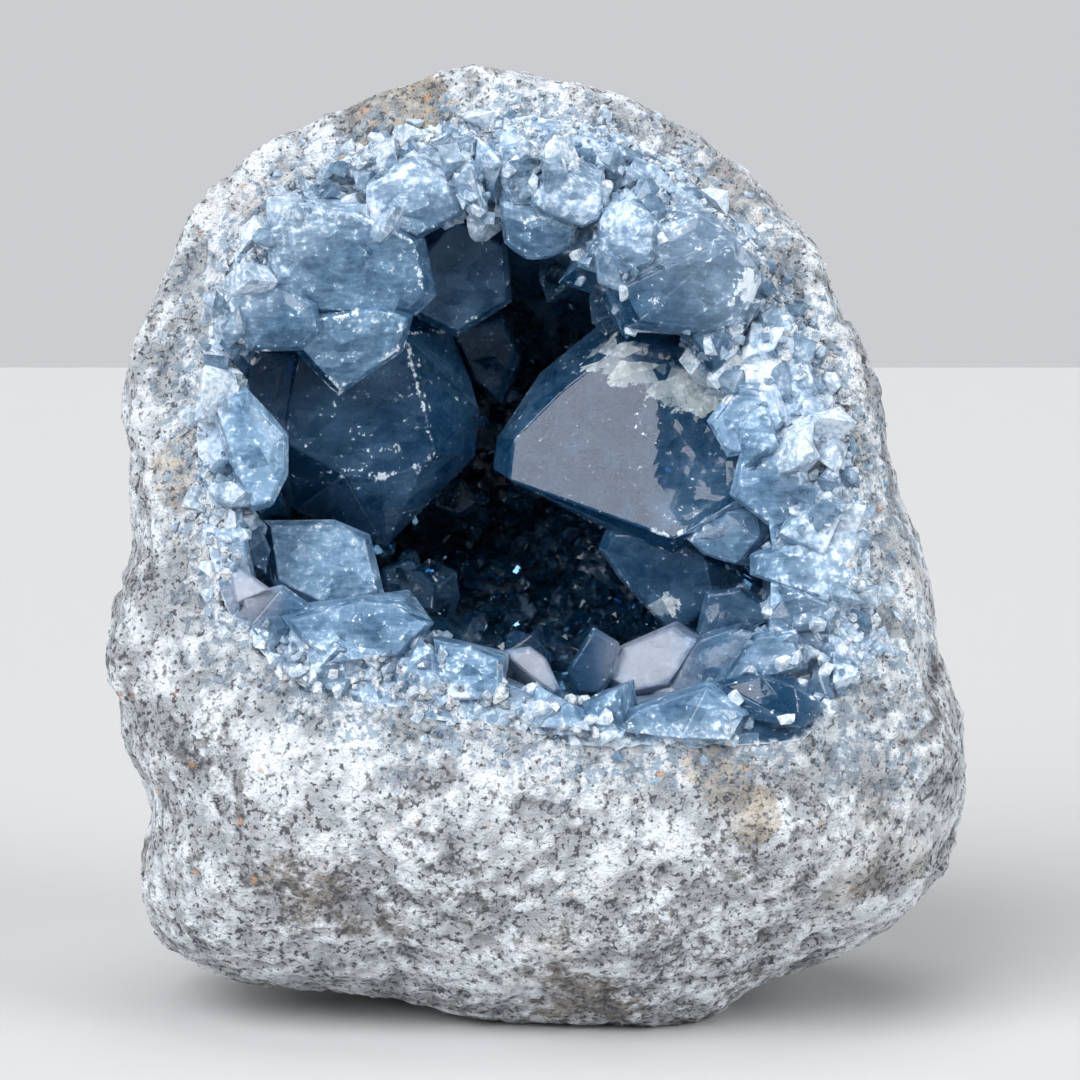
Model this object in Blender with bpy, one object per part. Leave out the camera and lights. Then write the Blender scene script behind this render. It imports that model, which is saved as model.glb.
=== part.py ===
"""A celestite geode: a hollow stone, broken open at the front and lined with one crust of blue crystals.

Two solids are made. rock_shell is the stone, a lumpy nodule with a hollow in it, which stands on a small
flat spot. crystal_crust is everything that grew in the hollow, a lining with flat-faced crystals on it.

Every size and place below is in millimetres, and MM turns it into metres. X is to the right and Z is up
as the opening is seen from the front, and Y runs into the stone, so the opening faces -Y.
The origin is at the middle of the geode's box, on the surface that it stands on.
"""

import math
import random

import bmesh
import bpy
from mathutils import Quaternion, Vector, noise

MM = 0.001

# The stone's outline as seen from the front, through the widest place of its sides, as (x, z).
STONE_OUTLINE = [
    (14, -2), (38, 0), (59, 11), (82, 20), (92, 32), (101, 56), (99, 71), (94, 86), (90, 100),
    (87, 114), (82, 131), (76, 146), (72, 163), (65, 177), (48, 198), (25, 213), (-9, 222),
    (-32, 217), (-60, 206), (-83, 182), (-96, 149), (-95, 117), (-100, 82), (-92, 51),
    (-94, 34), (-85, 18), (-49, 8), (-21, 2),
]
STONE_MIDDLE = (0, 105)
STONE_STANDS_AT = 3
STONE_FRONT = 68
STONE_BACK = 80
STONE_FULLNESS = 0.8
STONE_DETAIL = 6

# The lumps and dents of the skin: reach of one lump, and how far it stands out.
SKIN_LUMPS = [(44, 2.6), (17, 2.2)]
# Dents and ledges that show from a step away, as (x, y, z) of the middle, reach and depth.
SKIN_DENTS = [
    ((-58, -62, 26), 24, 5.0),
    ((-30, -70, 20), 22, 3.5),
    ((-97, -20, 50), 20, 3.0),
    ((70, -45, 22), 22, 3.5),
    ((30, -75, 62), 20, 2.0),
    ((-70, 60, 130), 38, 5.0),
    ((55, 66, 60), 34, 5.0),
    ((10, 85, 170), 36, 4.0),
]

# The break across the front leans back towards the top, and falls back at both sides.
BREAK_LIP_HEIGHT = 75
BREAK_LIP_DEPTH = -58
BREAK_LEAN = 0.33
BREAK_SIDE_REACH = 80
BREAK_SIDE_FALL = 12
BREAK_ROUNDING = 7
BREAK_LUMPS = (14, 1.6)

# The edge of the hollow in the rock, and of the free space inside the crust, on the broken face as (x, z).
ROCK_HOLLOW_OUTLINE = [
    (-9, 210), (14, 208), (32, 199), (47, 184), (59, 166), (67, 146), (72, 124), (76, 102),
    (76, 90), (71, 79), (62, 72), (50, 69), (30, 69), (10, 70), (-22, 76), (-50, 80), (-65, 91),
    (-73, 104), (-77, 120), (-78, 139), (-76, 157), (-71, 175), (-62, 189), (-48, 200), (-30, 207),
]
ROCK_HOLLOW_MIDDLE = (-3, 138)
ROCK_HOLLOW_BACK = 72
FREE_SPACE_OUTLINE = [
    (0, 183), (22, 168), (43, 146), (50, 128), (52, 111), (51, 95), (43, 84), (24, 79), (8, 79),
    (-6, 84), (-26, 93), (-46, 96), (-60, 97), (-66, 109), (-66, 124), (-68, 140), (-67, 155),
    (-56, 167), (-44, 179), (-22, 187),
]
FREE_SPACE_MIDDLE = (-8, 132)
FREE_SPACE_BACK = 57
HOLLOW_WIDEST_DEPTH = -10
HOLLOW_FRONT = 110
HOLLOW_DETAIL = 3
HOLLOW_LUMPS = (38, 3.0)

# How far the lining and the crystals stay inside the rock's hollow, and how far the lining's broken face
# stands in front of the rock's.
LINING_INSET = 0.6
CRYSTAL_INSET = 4.0
CRUST_PROUD = 0.8

# Corners nearer than this are welded, and this is how a crystal is nudged that doesn't join cleanly.
WELD = 0.06
NUDGE = 0.15
NUDGES = 16

ROCK_COLOUR = (0.62, 0.61, 0.59, 1)
CRYSTAL_COLOUR = (0.30, 0.47, 0.62, 1)

# The crystals that show as single ones. face is the outline of the front face as (x, z), depth is the
# face's own y, and facing is how far it turns to the right and up. girdle, where given, is the wider
# outline behind the face, and girdle_back is how far behind. root is the way from the face to the wall that
# it grew on, and flare is how much wider the crystal is there.
MIRROR_FACING = (-0.3, 0.42)
CRYSTALS = {
    "right plate": dict(
        face=[(-6, 136), (5, 147), (19, 158), (36, 157), (46, 141), (46, 125), (30, 115), (-7, 127)],
        girdle=[(-11, 129), (-10, 136), (0, 151), (16, 164), (37, 164), (52, 145), (52, 122), (30, 111),
                (15, 116)],
        depth=-18, girdle_back=8, facing=MIRROR_FACING, root=(38, 34, 8), flare=1.05,
    ),
    "left block": dict(
        face=[(-55, 155), (-31, 160), (-24, 133), (-27, 130), (-37, 127), (-45, 128), (-59, 136)],
        girdle=[(-58, 160), (-30, 165), (-21, 161), (-16, 149), (-14, 142), (-15, 131), (-36, 110),
                (-41, 113), (-57, 119), (-63, 126), (-65, 140)],
        depth=-10, girdle_back=11, facing=(0.12, -0.05), root=(-24, 30, 6), flare=1.0,
    ),
    "milky block": dict(
        face=[(-60, 183), (-53, 188), (-40, 187), (-28, 181), (-26, 170), (-30, 166), (-50, 166),
              (-58, 170)],
        depth=-29, facing=(0.2, -0.2), root=(-12, 30, 12), flare=1.2,
    ),
    "round knob": dict(
        face=[(-67, 171), (-57, 171), (-51, 167), (-50, 162), (-54, 158), (-65, 158), (-68, 163),
              (-69, 168)],
        depth=-32, facing=(0.1, -0.1), root=(-12, 24, 2), flare=1.1,
    ),
    "wedge": dict(
        face=[(-49, 164), (-36, 166), (-30, 164), (-32, 157), (-45, 148), (-53, 157)],
        depth=-26, facing=(0.15, -0.3), root=(-8, 26, 14), flare=1.1,
    ),
    "left shadow": dict(
        face=[(-72, 157), (-56, 155), (-55, 138), (-62, 134), (-75, 146)],
        depth=-14, facing=(0.35, 0.0), root=(-20, 22, 0), flare=1.1,
    ),
    "grey knob": dict(
        face=[(-61, 117), (-47, 117), (-40, 114), (-37, 102), (-49, 100), (-59, 105)],
        depth=-22, facing=(0.15, 0.25), root=(-8, 20, -12), flare=1.15,
    ),
    "small dark": dict(
        face=[(-66, 115), (-63, 117), (-61, 112), (-62, 107), (-66, 110)],
        depth=-26, facing=(0.3, 0.1), root=(-8, 14, -2), flare=1.2,
    ),
    "left mirror": dict(
        face=[(-69, 111), (-60, 105), (-67, 102), (-73, 104)],
        depth=-44, facing=MIRROR_FACING, root=(-4, 14, -6), flare=1.3,
    ),
    "lip knob": dict(
        face=[(-65, 103), (-57, 105), (-50, 100), (-55, 96), (-59, 92), (-64, 97)],
        depth=-46, facing=(0.1, 0.25), root=(-3, 18, -8), flare=1.2,
    ),
    "lip mirror": dict(
        face=[(-8, 90), (-2, 91), (1, 89), (4, 83), (3, 82), (-3, 86)],
        depth=-41, facing=MIRROR_FACING, root=(0, 14, -12), flare=1.3,
    ),
    "dark point": dict(
        face=[(7, 86), (12, 94), (17, 91), (16, 85), (13, 81), (9, 81)],
        depth=-32, facing=(-0.1, 0.2), root=(2, 16, -12), flare=1.2,
    ),
    "oval mirror": dict(
        face=[(15, 84), (19, 90), (30, 95), (35, 92), (29, 83), (21, 81)],
        depth=-31, facing=MIRROR_FACING, root=(6, 16, -16), flare=1.15,
    ),
    "blue lens": dict(
        face=[(29, 86), (36, 92), (44, 95), (52, 94), (51, 90), (45, 86), (34, 79), (25, 78)],
        depth=-35, facing=(-0.35, 0.25), root=(14, 16, -12), flare=1.1,
    ),
    "under plate": dict(
        face=[(15, 111), (17, 115), (30, 114), (37, 110), (39, 101), (34, 95), (29, 94), (19, 105)],
        depth=-21, facing=(-0.2, -0.15), root=(22, 22, -6), flare=1.1,
    ),
    "right knob": dict(
        face=[(34, 115), (40, 121), (48, 121), (49, 116), (44, 110), (37, 112)],
        depth=-31, facing=(-0.15, 0.2), root=(12, 18, -2), flare=1.2,
    ),
    "right prism": dict(
        face=[(48, 112), (58, 115), (68, 114), (69, 105), (63, 103), (48, 108)],
        depth=-44, facing=(-0.05, 0.15), root=(6, 18, 0), flare=1.1,
    ),
    "right low": dict(
        face=[(38, 102), (45, 103), (53, 97), (44, 94), (36, 93)],
        depth=-29, facing=(-0.2, 0.1), root=(12, 18, -4), flare=1.2,
    ),
    "right low edge": dict(
        face=[(53, 106), (63, 102), (62, 97), (54, 95)],
        depth=-46, facing=(-0.3, 0.1), root=(8, 16, -4), flare=1.2,
    ),
    "top right dome": dict(
        face=[(24, 181), (35, 187), (46, 185), (48, 176), (44, 165), (37, 162), (22, 164), (18, 171)],
        girdle=[(10, 181), (26, 189), (37, 191), (50, 187), (53, 175), (46, 163), (38, 160), (18, 161)],
        depth=-35, girdle_back=7, facing=(-0.05, -0.05), root=(12, 26, 6), flare=1.05,
    ),
    "top right small": dict(
        face=[(14, 185), (19, 189), (25, 185), (24, 177), (18, 174), (14, 179)],
        depth=-36, facing=(-0.2, -0.1), root=(4, 22, 8), flare=1.2,
    ),
    "hanging near": dict(
        face=[(0, 193), (6, 196), (13, 191), (13, 187), (9, 185), (-1, 189)],
        depth=-32, facing=(0.0, -0.1), root=(0, 18, 12), flare=1.15,
    ),
    "hanging low": dict(
        face=[(-8, 189), (-1, 187), (7, 184), (6, 180), (1, 178), (-3, 178), (-7, 181)],
        depth=-27, facing=(-0.1, -0.2), root=(0, 14, 18), flare=1.1,
    ),
    "hanging left": dict(
        face=[(-8, 194), (-6, 198), (-1, 197), (-1, 190), (-6, 190)],
        depth=-29, facing=(0.1, -0.1), root=(-2, 18, 10), flare=1.15,
    ),
    "white column": dict(
        face=[(-19, 196), (-15, 198), (-12, 187), (-13, 186), (-18, 192)],
        depth=-29, facing=(0.2, 0.1), root=(-3, 16, 10), flare=1.3,
    ),
    "teal column": dict(
        face=[(-26, 178), (-19, 186), (-9, 180), (-8, 168), (-19, 161), (-29, 166)],
        depth=-10, facing=(0.25, -0.1), root=(-6, 28, 18), flare=1.15,
    ),
    "top left block": dict(
        face=[(-38, 193), (-29, 199), (-19, 194), (-19, 188), (-28, 183), (-38, 187)],
        depth=-28, facing=(0.05, -0.15), root=(-2, 22, 12), flare=1.2,
    ),
    "top left crown": dict(
        face=[(-31, 206), (-22, 206), (-15, 205), (-15, 201), (-20, 196), (-30, 199)],
        depth=-21, facing=(0.0, 0.1), root=(0, 18, 2), flare=1.0,
    ),
    "deep fang": dict(
        face=[(-20, 160), (-9, 163), (-5, 154), (-9, 144), (-15, 149)],
        depth=9, facing=(0.2, -0.1), root=(-12, 28, 8), flare=1.3,
    ),
    "deep tooth": dict(
        face=[(-36, 105), (-30, 107), (-25, 102), (-25, 96), (-35, 97)],
        depth=0, facing=(0.1, 0.3), root=(-4, 22, -16), flare=1.3,
    ),
    "deep stub": dict(
        face=[(-25, 123), (-19, 125), (-15, 120), (-19, 117), (-25, 119)],
        depth=14, facing=(0.0, 0.3), root=(-4, 26, -8), flare=1.5,
    ),
    "right rim bead": dict(
        face=[(37, 142), (43, 150), (50, 149), (52, 142), (47, 136), (41, 135)],
        depth=-36, facing=(-0.2, 0.1), root=(10, 20, 2), flare=1.2,
    ),
    "right rim upper": dict(
        face=[(52, 162), (60, 166), (62, 158), (59, 151), (53, 155)],
        depth=-30, facing=(0.0, 0.0), root=(2, 18, 0), flare=1.2,
    ),
    "right rim lower": dict(
        face=[(44, 134), (55, 134), (58, 124), (51, 119), (42, 126)],
        depth=-41, facing=(-0.1, 0.1), root=(6, 20, 0), flare=1.2,
    ),
    "left rim wedge": dict(
        face=[(-72, 146), (-65, 147), (-57, 138), (-57, 130), (-60, 124), (-64, 123), (-67, 131)],
        depth=-36, facing=(0.25, 0.1), root=(-6, 20, 0), flare=1.1,
    ),
    "low right chunk": dict(
        face=[(47, 95), (55, 96), (56, 89), (49, 87), (40, 85)],
        depth=-53, facing=(-0.2, 0.2), root=(6, 18, -4), flare=1.2,
    ),
    "low right slab": dict(
        face=[(40, 85), (48, 87), (55, 85), (62, 81), (58, 75), (46, 78)],
        depth=-57, facing=(-0.1, 0.25), root=(2, 18, -2), flare=1.1,
    ),
    "lip chunk": dict(
        face=[(16, 76), (21, 80), (28, 82), (36, 85), (44, 79), (41, 74), (31, 73)],
        depth=-60, facing=(0.0, 0.25), root=(0, 20, -2), flare=1.0,
    ),
    "left lens": dict(
        face=[(-57, 86), (-52, 88), (-42, 86), (-44, 82), (-52, 81)],
        depth=-55, facing=(0.0, 0.25), root=(0, 18, 4), flare=1.1,
    ),
    "ledge left": dict(
        face=[(-54, 99), (-39, 103), (-31, 102), (-25, 98), (-31, 92), (-46, 90)],
        depth=-53, facing=(0.0, 0.3), root=(0, 20, 0), flare=1.1,
    ),
    "ledge right": dict(
        face=[(-22, 94), (-15, 93), (-9, 91), (-9, 83), (-20, 83)],
        depth=-57, facing=(0.0, 0.3), root=(0, 20, -2), flare=1.2,
    ),
}
GIRDLE_WIDER = 1.16
GIRDLE_BACK_SHARE = 0.22

# The smaller crystals that fill the rim and line the hollow: widths, and how far they stand out.
SEED = 11
RIM_ROWS = 8
RIM_SHIFT = 0.45
RIM_PITCH = 11.5
RIM_WIDTHS = (14, 20)
RIM_PROUD = (4, 8)
WALL_COUNT = 24
WALL_WIDTHS = (13, 20)
WALL_PROUD = (6, 12)
ROOT_DEPTH = 8


def clear_scene():
    for obj in list(bpy.data.objects):
        bpy.data.objects.remove(obj, do_unlink=True)


def material(name, colour, roughness):
    made = bpy.data.materials.new(name)
    made.use_nodes = True
    shader = made.node_tree.nodes["Principled BSDF"]
    shader.inputs["Base Color"].default_value = colour
    shader.inputs["Roughness"].default_value = roughness
    shader.inputs["Metallic"].default_value = 0.0
    return made


def add_object(name, bm, parent):
    """Links a shape that is drawn in millimetres as an object in metres."""
    bmesh.ops.recalc_face_normals(bm, faces=bm.faces)
    bmesh.ops.scale(bm, vec=(MM, MM, MM), verts=bm.verts)
    mesh = bpy.data.meshes.new(name)
    bm.to_mesh(mesh)
    bm.free()
    obj = bpy.data.objects.new(name, mesh)
    bpy.context.scene.collection.objects.link(obj)
    obj.parent = parent
    return obj


def lump(point, reach, height, shift):
    """A smooth swell of about this reach and height; shift picks another pattern."""
    return height * noise.noise(Vector(point) / reach + Vector((shift, 0, 0)))


def crag(point, reach, height, shift):
    """Like lump, but with rounded humps that meet in sharp valleys."""
    return 2 * abs(lump(point, reach, height, shift)) - height * 0.6


def closed_curve(outline, middle):
    """A function from an angle round the middle to how far out a smooth curve through the outline lies."""
    polar = sorted(
        (math.atan2(z - middle[1], x - middle[0]) % math.tau, math.hypot(x - middle[0], z - middle[1]))
        for x, z in outline
    )
    count = len(polar)

    def radius(angle):
        angle %= math.tau
        after = next((i for i, (at, _) in enumerate(polar) if at > angle), 0)
        (start, r1), (end, r2) = polar[after - 1], polar[after]
        r0, r3 = polar[after - 2][1], polar[(after + 1) % count][1]
        share = ((angle - start) % math.tau) / ((end - start) % math.tau)
        ease = share * share * (3 - 2 * share)
        bend = (r2 - r0) * share * (1 - share) ** 2 - (r3 - r1) * share**2 * (1 - share)
        return r1 + (r2 - r1) * ease + bend / 2

    return radius


def break_depth(x, z):
    """How deep the broken front lies at this place of the front view."""
    reach, height = BREAK_LUMPS
    return (
        BREAK_LIP_DEPTH
        + (z - BREAK_LIP_HEIGHT) * BREAK_LEAN
        + BREAK_SIDE_FALL * (x / BREAK_SIDE_REACH) ** 2
        + lump((x, 0, z), reach, height, 7)
    )


def smooth_max(a, b, rounding):
    near = max(rounding - abs(a - b), 0) / rounding
    return max(a, b) + near * near * rounding / 4


def dent(point):
    """How far the skin is pushed in here by the named dents."""
    total = 0.0
    for middle, reach, depth in SKIN_DENTS:
        near = (Vector(point) - Vector(middle)).length / reach
        total += depth * max(0.0, 1 - near * near) ** 2
    return total


def stone_point(direction, radius):
    """Where the skin lies in this direction from the stone's middle."""
    across = math.hypot(direction.x, direction.z)
    angle = math.atan2(direction.z, direction.x)
    reach = radius(angle) * across**STONE_FULLNESS
    depth = STONE_BACK if direction.y > 0 else STONE_FRONT
    point = Vector(
        (
            STONE_MIDDLE[0] + reach * math.cos(angle),
            math.copysign(depth * abs(direction.y) ** STONE_FULLNESS, direction.y),
            STONE_MIDDLE[1] + reach * math.sin(angle),
        )
    )
    swell = sum(crag(point, size, height, 3 + i) for i, (size, height) in enumerate(SKIN_LUMPS))
    point += direction * (swell - dent(point))
    if direction.y < 0:
        point.y = smooth_max(point.y, break_depth(point.x, point.z), BREAK_ROUNDING)
    return point


def stone_blank():
    """The nodule with its front broken off, and cut flat where it stands."""
    radius = closed_curve(STONE_OUTLINE, STONE_MIDDLE)
    bm = bmesh.new()
    bmesh.ops.create_icosphere(bm, subdivisions=2, radius=1)
    bmesh.ops.subdivide_edges(bm, edges=bm.edges[:], cuts=STONE_DETAIL, use_grid_fill=True)
    for vert in bm.verts:
        vert.co = stone_point(vert.co.normalized(), radius)
    everything = bm.verts[:] + bm.edges[:] + bm.faces[:]
    cut = bmesh.ops.bisect_plane(
        bm, geom=everything, plane_co=(0, 0, STONE_STANDS_AT), plane_no=(0, 0, 1), clear_inner=True
    )
    edges = [item for item in cut["geom_cut"] if isinstance(item, bmesh.types.BMEdge)]
    bmesh.ops.contextual_create(bm, geom=edges)
    return bm


def hollow_blank(outline, middle, back, inset=0):
    """A lumpy space that is round at the back and runs straight out at the front, drawn in by inset."""
    radius = closed_curve(outline, middle)
    reach, height = HOLLOW_LUMPS
    bm = bmesh.new()
    bmesh.ops.create_icosphere(bm, subdivisions=HOLLOW_DETAIL, radius=1)
    for vert in bm.verts:
        out = vert.co.normalized()
        angle = math.atan2(out.z, out.x)
        across = math.hypot(out.x, out.z)
        swell = lump(out * back, reach, height, 20) - inset
        side = (radius(angle) - inset) * (across**0.25 if out.y < 0 else across)
        depth = out.y * ((back if out.y > 0 else HOLLOW_FRONT) + swell)
        vert.co = (
            middle[0] + side * math.cos(angle),
            HOLLOW_WIDEST_DEPTH + depth,
            middle[1] + side * math.sin(angle),
        )
    return bm


def clear_of_rock(point):
    """The point itself, or drawn in towards the middle of the hollow where it lies too near the rock."""
    across = Vector((point.x - ROCK_HOLLOW_MIDDLE[0], point.z - ROCK_HOLLOW_MIDDLE[1]))
    behind = point.y - HOLLOW_WIDEST_DEPTH
    share = min(abs(behind) / (ROCK_HOLLOW_BACK if behind > 0 else HOLLOW_FRONT), 0.9)
    narrower = (1 - share * share) ** (0.5 if behind > 0 else 0.125)
    reach = closed_curve(ROCK_HOLLOW_OUTLINE, ROCK_HOLLOW_MIDDLE)(math.atan2(across.y, across.x))
    limit = reach * narrower - CRYSTAL_INSET
    if across.length > limit:
        across *= limit / across.length
    depth = min(point.y, HOLLOW_WIDEST_DEPTH + 0.9 * ROCK_HOLLOW_BACK)
    return Vector((ROCK_HOLLOW_MIDDLE[0] + across.x, depth, ROCK_HOLLOW_MIDDLE[1] + across.y))


def front_block():
    """The air in front of the crust's own broken face, to cut the lining back to it."""
    cells, half_side, front = 24, 95, -150
    bm = bmesh.new()
    bmesh.ops.create_grid(bm, x_segments=cells, y_segments=cells, size=half_side)
    for vert in bm.verts:
        x, z = vert.co.x, vert.co.y + ROCK_HOLLOW_MIDDLE[1]
        vert.co = (x, break_depth(x, z) - CRUST_PROUD, z)
    pushed = bmesh.ops.extrude_face_region(bm, geom=bm.faces[:])
    for item in pushed["geom"]:
        if isinstance(item, bmesh.types.BMVert):
            item.co.y = front
    return bm


def hull(points):
    """The solid that a skin drawn tight over the points encloses, after they are kept clear of the rock."""
    bm = bmesh.new()
    for point in points:
        bm.verts.new(clear_of_rock(point))
    made = bmesh.ops.convex_hull(bm, input=bm.verts[:])
    loose = [item for item in made["geom_interior"] if isinstance(item, bmesh.types.BMVert)]
    bmesh.ops.delete(bm, geom=loose, context="VERTS")
    return bm


def middle_of(outline):
    count = len(outline)
    return sum(x for x, _ in outline) / count, sum(z for _, z in outline) / count


def crystal(face, depth, facing, root, flare, girdle=None, girdle_back=None):
    """A flat-faced crystal: a front face, a wider girdle behind it, and a root in the wall."""
    mid_x, mid_z = middle_of(face)
    size = max(math.hypot(x - mid_x, z - mid_z) for x, z in face)
    if girdle is None:
        girdle = [(mid_x + (x - mid_x) * GIRDLE_WIDER, mid_z + (z - mid_z) * GIRDLE_WIDER) for x, z in face]
        girdle_back = size * GIRDLE_BACK_SHARE

    def on_plane(x, z, back):
        return Vector((x, depth + back + facing[0] * (x - mid_x) + facing[1] * (z - mid_z), z))

    points = [on_plane(x, z, 0) for x, z in face]
    points += [on_plane(x, z, girdle_back) for x, z in girdle]
    for x, z in girdle[::2]:
        wide = on_plane(mid_x + (x - mid_x) * flare, mid_z + (z - mid_z) * flare, girdle_back)
        points.append(wide + Vector(root))
    return hull(points)


def small_crystal(rng, foot, out, width, proud):
    """A stubby rhombic prism with a chisel tip, which grows from foot along out."""
    out = out.normalized()
    side = out.orthogonal().normalized()
    side.rotate(Quaternion(out, rng.uniform(0, math.tau)))
    other = out.cross(side)
    half, thick = width / 2, width / 2 * rng.uniform(0.6, 0.9)
    shoulder = proud * rng.uniform(0.35, 0.7)
    end = side * half + other * thick * 0.3
    ring = [end, other * thick, -end, -other * thick]
    ridge = side * half * rng.uniform(0.25, 0.6)
    lean = other * thick * rng.uniform(-0.4, 0.4)
    points = [foot - out * ROOT_DEPTH + corner for corner in ring]
    points += [foot + out * shoulder + corner for corner in ring]
    points += [foot + out * proud + lean + ridge, foot + out * proud + lean - ridge]
    return hull(points)


def over_a_face(x, z):
    """True where a small crystal would cover one of the named ones."""
    for made in CRYSTALS.values():
        mid_x, mid_z = middle_of(made["face"])
        size = max(math.hypot(fx - mid_x, fz - mid_z) for fx, fz in made["face"])
        if math.hypot(x - mid_x, z - mid_z) < size * 0.7:
            return True
    return False


def rim_crystals(rng):
    """Blocky crystals that stand out of the crust's broken edge, in rows that are jumbled a little."""
    inner = closed_curve(FREE_SPACE_OUTLINE, FREE_SPACE_MIDDLE)
    outer = closed_curve(ROCK_HOLLOW_OUTLINE, FREE_SPACE_MIDDLE)
    for row in range(-RIM_ROWS, RIM_ROWS + 1):
        for column in range(-RIM_ROWS, RIM_ROWS + 1):
            across = (column + row % 2 / 2 + rng.uniform(-0.2, 0.2)) * RIM_PITCH
            up = (row * 0.87 + RIM_SHIFT + rng.uniform(-0.2, 0.2)) * RIM_PITCH
            angle = math.atan2(up, across)
            on_the_rim = inner(angle) < math.hypot(across, up) < outer(angle) - 4
            x, z = FREE_SPACE_MIDDLE[0] + across, FREE_SPACE_MIDDLE[1] + up
            out = Vector((rng.uniform(-0.5, 0.5), -1, rng.uniform(-0.3, 0.6)))
            width = rng.uniform(*RIM_WIDTHS)
            proud = rng.uniform(*RIM_PROUD)
            if on_the_rim and not over_a_face(x, z):
                yield small_crystal(rng, Vector((x, break_depth(x, z), z)), out, width, proud)


def wall_crystals(rng):
    """Crystals that point inwards from the back and the sides of the hollow, spread by the golden angle."""
    radius = closed_curve(FREE_SPACE_OUTLINE, FREE_SPACE_MIDDLE)
    for index in range(WALL_COUNT):
        back = 0.04 + 0.94 * (index + 0.5) / WALL_COUNT
        angle = index * math.pi * (3 - math.sqrt(5))
        around = math.sqrt(1 - back * back)
        reach = around * radius(angle)
        foot = Vector(
            (
                FREE_SPACE_MIDDLE[0] + reach * math.cos(angle),
                HOLLOW_WIDEST_DEPTH + back * FREE_SPACE_BACK,
                FREE_SPACE_MIDDLE[1] + reach * math.sin(angle),
            )
        )
        inwards = -Vector((around * math.cos(angle), back, around * math.sin(angle)))
        inwards += Vector((rng.uniform(-0.35, 0.35), rng.uniform(-0.35, 0.1), rng.uniform(-0.35, 0.35)))
        yield small_crystal(rng, foot, inwards, rng.uniform(*WALL_WIDTHS), rng.uniform(*WALL_PROUD))


def worked_out(obj, operation, operand):
    """The mesh that a Boolean of the two objects gives, welded where slivers are left."""
    modifier = obj.modifiers.new("cut or join", "BOOLEAN")
    modifier.operation = operation
    modifier.solver = "EXACT"
    modifier.object = operand
    bpy.context.view_layer.update()
    mesh = obj.evaluated_get(bpy.context.evaluated_depsgraph_get()).to_mesh()
    bm = bmesh.new()
    bm.from_mesh(mesh)
    obj.modifiers.clear()
    bmesh.ops.remove_doubles(bm, verts=bm.verts[:], dist=WELD * MM)
    bmesh.ops.dissolve_degenerate(bm, edges=bm.edges[:], dist=WELD * MM)
    return bm


def cut_or_join(obj, operation, operand):
    """Cuts obj with the operand or joins them, with the operand nudged a little if that doesn't close.

    Returns False, with obj as it was, if no nudge helps.
    """
    closed = False
    for attempt in range(NUDGES):
        operand.location = Vector((0.6, 1, -0.3)) * attempt * NUDGE * MM
        bm = worked_out(obj, operation, operand)
        closed = all(edge.is_manifold for edge in bm.edges) and all(vert.is_manifold for vert in bm.verts)
        if closed:
            keep_outer_surface(bm)
            bm.to_mesh(obj.data)
        bm.free()
        if closed:
            break
    bpy.data.objects.remove(operand, do_unlink=True)
    return closed


def keep_outer_surface(bm):
    """Removes every surface but the largest, so that no pocket is left between the crystals."""
    left, pieces = set(bm.faces), []
    while left:
        piece, newest = set(), {left.pop()}
        while newest:
            piece |= newest
            newest = {face for old in newest for edge in old.edges for face in edge.link_faces} - piece
        left -= piece
        pieces.append(piece)
    outer = max(pieces, key=len)
    bmesh.ops.delete(bm, geom=[face for face in bm.faces if face not in outer], context="FACES")


def make_rock_shell(parent):
    """The stone: its hollow holds the crust."""
    shell = add_object("rock_shell", stone_blank(), parent)
    shell.data.materials.append(material("granular rind", ROCK_COLOUR, 0.9))
    hollow = hollow_blank(ROCK_HOLLOW_OUTLINE, ROCK_HOLLOW_MIDDLE, ROCK_HOLLOW_BACK)
    cut_or_join(shell, "DIFFERENCE", add_object("rock hollow", hollow, parent))
    return shell


def make_crystal_crust(parent):
    """The crust: a lining of the hollow, joined with every crystal."""
    lining = hollow_blank(ROCK_HOLLOW_OUTLINE, ROCK_HOLLOW_MIDDLE, ROCK_HOLLOW_BACK, LINING_INSET)
    crust = add_object("crystal_crust", lining, parent)
    crust.data.materials.append(material("blue celestite", CRYSTAL_COLOUR, 0.12))
    free_space = hollow_blank(FREE_SPACE_OUTLINE, FREE_SPACE_MIDDLE, FREE_SPACE_BACK)
    cut_or_join(crust, "DIFFERENCE", add_object("free space", free_space, parent))
    cut_or_join(crust, "DIFFERENCE", add_object("broken away", front_block(), parent))
    for name, made in CRYSTALS.items():
        if not cut_or_join(crust, "UNION", add_object(name, crystal(**made), parent)):
            raise RuntimeError(f"the crust doesn't close with the {name}")
    rng = random.Random(SEED)
    for filler in [*rim_crystals(rng), *wall_crystals(rng)]:
        cut_or_join(crust, "UNION", add_object("filler", filler, parent))
    return crust


def centre(geode, parts):
    """Moves the whole geode so that the middle of its box is over the origin."""
    corners = [vert.co for part in parts for vert in part.data.vertices]
    low = Vector([min(co[axis] for co in corners) for axis in range(3)])
    high = Vector([max(co[axis] for co in corners) for axis in range(3)])
    geode.location = (-(low.x + high.x) / 2, -(low.y + high.y) / 2, -low.z)


clear_scene()
GEODE = bpy.data.objects.new("geode", None)
bpy.context.scene.collection.objects.link(GEODE)
centre(GEODE, [make_rock_shell(GEODE), make_crystal_crust(GEODE)])
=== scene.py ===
"""The looks of a celestite geode: granular white stone, broken open, with a crust of blue crystals in it."""
import math
import random

import bmesh
import bpy
import numpy as np
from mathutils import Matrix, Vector, noise
from mathutils.bvhtree import BVHTree
from mathutils.kdtree import KDTree


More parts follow.
